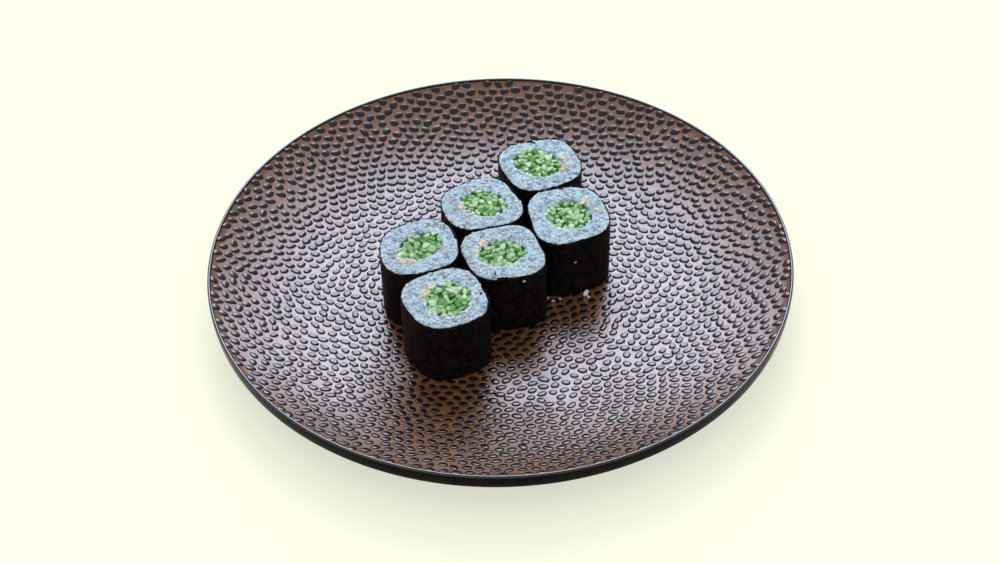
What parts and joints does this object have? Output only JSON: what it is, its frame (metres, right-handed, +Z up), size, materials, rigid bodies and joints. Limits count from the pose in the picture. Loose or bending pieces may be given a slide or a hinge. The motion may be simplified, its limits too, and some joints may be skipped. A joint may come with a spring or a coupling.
{
  "type": "maki sushi rolls on a plate",
  "caption": "Cucumber maki rolls standing on end on a round brown coupe plate with a plain dark lip and a foot ring.",
  "frame": {"origin": "on the plate's axis, at the height of the surface that its foot ring stands on", "axes": "+Z up along the plate's axis; +X to the right and +Y away from the viewer of the picture"},
  "size_m": [0.21, 0.21, 0.0317],
  "materials": {
    "brown_glaze": "gloss",
    "nori": "satin",
    "sushi_rice": "satin",
    "cucumber": "satin"
  },
  "bodies": {
    "root": {"plate": "brown_glaze", "nori_back_right": "nori", "nori_back_left": "nori", "nori_right": "nori", "nori_left": "nori", "nori_middle": "nori", "nori_front": "nori", "rice_back_right": "sushi_rice", "rice_back_left": "sushi_rice", "rice_right": "sushi_rice", "rice_left": "sushi_rice", "rice_middle": "sushi_rice", "rice_front": "sushi_rice", "cucumber_back_right": "cucumber", "cucumber_back_left": "cucumber", "cucumber_right": "cucumber", "cucumber_left": "cucumber", "cucumber_middle": "cucumber", "cucumber_front": "cucumber"}
  },
  "joints": []
}
